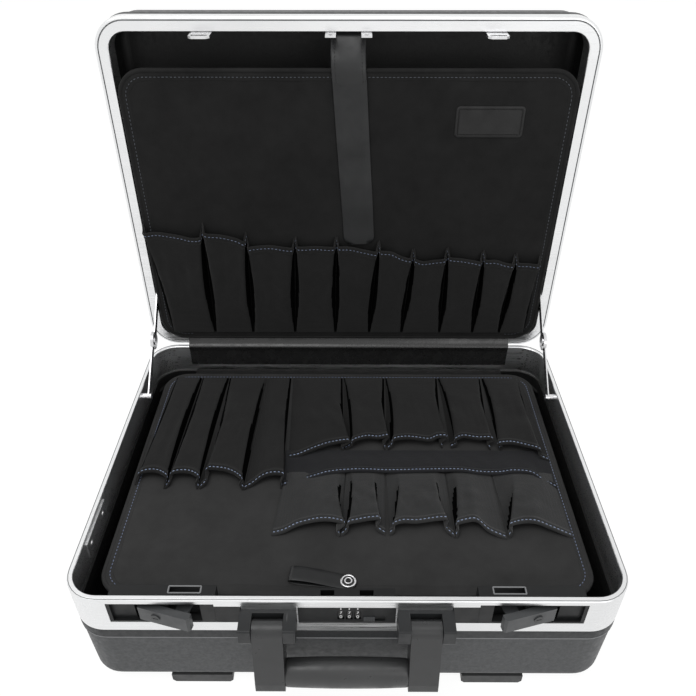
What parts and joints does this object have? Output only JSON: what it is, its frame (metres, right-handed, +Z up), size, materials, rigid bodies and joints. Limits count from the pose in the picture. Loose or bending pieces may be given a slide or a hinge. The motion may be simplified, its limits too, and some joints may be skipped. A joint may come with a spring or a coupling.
{
  "type": "hard tool case",
  "caption": "Rigid two-shell carrying case with aluminium frames, lever latches, a dial lock, a folding handle, a stayed lid and two removable boards with sewn tool pockets.",
  "frame": {"origin": "middle of the footprint, on the surface that the feet stand on, with the lid open", "axes": "+X to the right along the front, +Y from the front to the hinge, +Z up"},
  "size_m": [0.49, 0.4772, 0.51],
  "materials": {
    "shell": "fine pebbled",
    "frame": "satin anodised",
    "hardware": "satin",
    "lever": "satin",
    "bracket": "satin grey black",
    "handle": "satin",
    "grip": "satin",
    "board": "covered with black cloth",
    "binding": "leather-like",
    "cloth": "black cloth",
    "strap": "smooth",
    "cover": "leather cloth",
    "steel": "bright",
    "rail": "satin",
    "plate": "satin",
    "dial": "black"
  },
  "bodies": {
    "base": {"base_shell": "shell", "base_frame": "frame", "frame_joiner": "frame", "feet": "shell", "board_rails": "rail", "hinge_base_leaf": "steel", "hinge_pin": "steel", "hinge_cover": "cover", "latch_housing_left": "hardware", "latch_housing_right": "hardware", "latch_pins": "steel", "lock_housing": "hardware", "dial_spindle": "steel", "front_fillers": "hardware", "handle_bracket_left": "bracket", "handle_bracket_right": "bracket", "handle_pins": "steel", "stay_base_studs": "steel"},
    "lid": {"lid_shell": "shell", "lid_frame": "frame", "badge_plate": "plate", "hinge_lid_leaf": "steel", "latch_keepers": "steel", "lock_keepers": "steel", "stay_lid_studs": "steel", "lid_strap": "strap"},
    "lid_board": {"lid_board": "board", "lid_board_binding": "binding", "lid_pockets": "cloth", "label_patch": "strap"},
    "base_board": {"base_board": "board", "base_board_binding": "binding", "base_pockets_left": "cloth", "base_pockets_back": "cloth", "base_pocket_hem": "cloth", "base_pockets_front": "cloth", "pull_strap": "strap", "pull_strap_snap": "steel"},
    "latch_left": {"latch_lever_left": "lever"},
    "latch_right": {"latch_lever_right": "lever"},
    "key_left": {"key_plug_left": "plate"},
    "key_right": {"key_plug_right": "plate"},
    "handle": {"handle_arms": "handle", "handle_grip": "grip"},
    "dial_1": {"dial_1": "dial"},
    "dial_2": {"dial_2": "dial"},
    "dial_3": {"dial_3": "dial"},
    "lock_slider": {"lock_slider": "lever"},
    "stay_lower_left": {"stay_lower_left": "steel"},
    "stay_lower_right": {"stay_lower_right": "steel"},
    "stay_upper_left": {"stay_upper_left": "steel"},
    "stay_upper_right": {"stay_upper_right": "steel"}
  },
  "joints": [
    {"name": "lid_hinge", "type": "hinge", "parent": "base", "child": "lid", "pos_m": [0, 0.16835, 0.135], "axis": [1, 0, 0], "range_deg": [0, 90], "deforming": ["hinge_cover"]},
    {"name": "stay_lower_left_pivot", "type": "hinge", "parent": "base", "child": "stay_lower_left", "pos_m": [-0.2315, 0.07435, 0.127], "axis": [1, 0, 0], "range_deg": [-67.81, 0.5]},
    {"name": "stay_knee_left", "type": "hinge", "parent": "stay_lower_left", "child": "stay_upper_left", "pos_m": [-0.2315, 0.12798, 0.16862], "axis": [1, 0, 0], "range_deg": [-0.5, 156.22]},
    {"name": "stay_lower_right_pivot", "type": "hinge", "parent": "base", "child": "stay_lower_right", "pos_m": [0.2315, 0.07435, 0.127], "axis": [1, 0, 0], "range_deg": [-67.81, 0.5]},
    {"name": "stay_knee_right", "type": "hinge", "parent": "stay_lower_right", "child": "stay_upper_right", "pos_m": [0.2315, 0.12798, 0.16862], "axis": [1, 0, 0], "range_deg": [-0.5, 156.22]},
    {"name": "latch_left_pivot", "type": "hinge", "parent": "base", "child": "latch_left", "pos_m": [-0.176, -0.20205, 0.11715], "axis": [0, 0, 1], "range_deg": [-46, 14]},
    {"name": "key_left_turn", "type": "hinge", "parent": "latch_left", "child": "key_left", "pos_m": [-0.16256, -0.21014, 0.11715], "axis": [-0.2419, -0.9703, 0], "range_deg": [0, 90]},
    {"name": "latch_right_pivot", "type": "hinge", "parent": "base", "child": "latch_right", "pos_m": [0.176, -0.20205, 0.11715], "axis": [0, 0, -1], "range_deg": [-46, 14]},
    {"name": "key_right_turn", "type": "hinge", "parent": "latch_right", "child": "key_right", "pos_m": [0.16256, -0.21014, 0.11715], "axis": [0.2419, -0.9703, 0], "range_deg": [0, 90]},
    {"name": "handle_pivot", "type": "hinge", "parent": "base", "child": "handle", "pos_m": [0, -0.21925, 0.113], "axis": [1, 0, 0], "range_deg": [-110, 0]},
    {"name": "dial_1_turn", "type": "hinge", "parent": "base", "child": "dial_1", "pos_m": [-0.0052, -0.19865, 0.114], "axis": [1, 0, 0], "continuous": true},
    {"name": "dial_2_turn", "type": "hinge", "parent": "base", "child": "dial_2", "pos_m": [0.002, -0.19865, 0.114], "axis": [1, 0, 0], "continuous": true},
    {"name": "dial_3_turn", "type": "hinge", "parent": "base", "child": "dial_3", "pos_m": [0.0092, -0.19865, 0.114], "axis": [1, 0, 0], "continuous": true},
    {"name": "lock_slide", "type": "slide", "parent": "base", "child": "lock_slider", "axis": [1, 0, 0], "range_m": [0, 0.0085]},
    {"name": "lid_board_tilt", "type": "hinge", "parent": "lid", "child": "lid_board", "pos_m": [0, 0.16115, 0.1526], "axis": [-1, 0, 0], "range_deg": [-25, 0], "deforming": ["lid_strap"]},
    {"name": "base_board_tilt", "type": "hinge", "parent": "base", "child": "base_board", "pos_m": [0, 0.14575, 0.102], "axis": [1, 0, 0], "range_deg": [-50, 0]}
  ],
  "couplings": [
    {"joint": "stay_lower_left_pivot", "follows": "lid_hinge", "ratio": -0.74787},
    {"joint": "stay_knee_left", "follows": "lid_hinge", "ratio": 1.7303},
    {"joint": "stay_lower_right_pivot", "follows": "lid_hinge", "ratio": -0.74787},
    {"joint": "stay_knee_right", "follows": "lid_hinge", "ratio": 1.7303}
  ]
}
